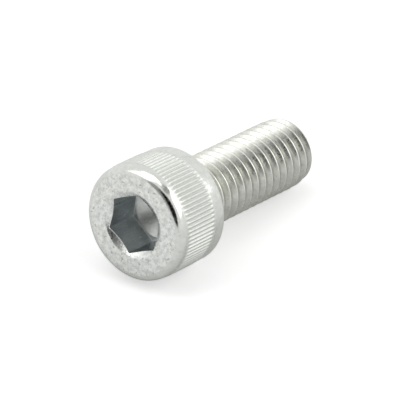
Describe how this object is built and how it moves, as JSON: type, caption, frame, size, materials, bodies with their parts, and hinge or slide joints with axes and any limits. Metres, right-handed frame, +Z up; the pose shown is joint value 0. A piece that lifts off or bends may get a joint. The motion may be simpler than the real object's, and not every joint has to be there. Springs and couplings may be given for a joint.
{
  "type": "hex socket cap screw",
  "caption": "Fully threaded hex socket cap screw with a knurled cylindrical head, lying on its side as it rests.",
  "frame": {"origin": "centre of the bounding box's base, on the surface that the screw lies on", "axes": "+Z up; +X along the lying screw, from its head to its tip, which dips by 7.6 degrees; +Y across it"},
  "size_m": [0.0288, 0.013, 0.0137],
  "materials": {
    "stainless_steel": "bright cold-formed stainless steel, lightly mottled on the top face"
  },
  "bodies": {
    "root": {"cap_screw": "stainless_steel"}
  },
  "joints": []
}
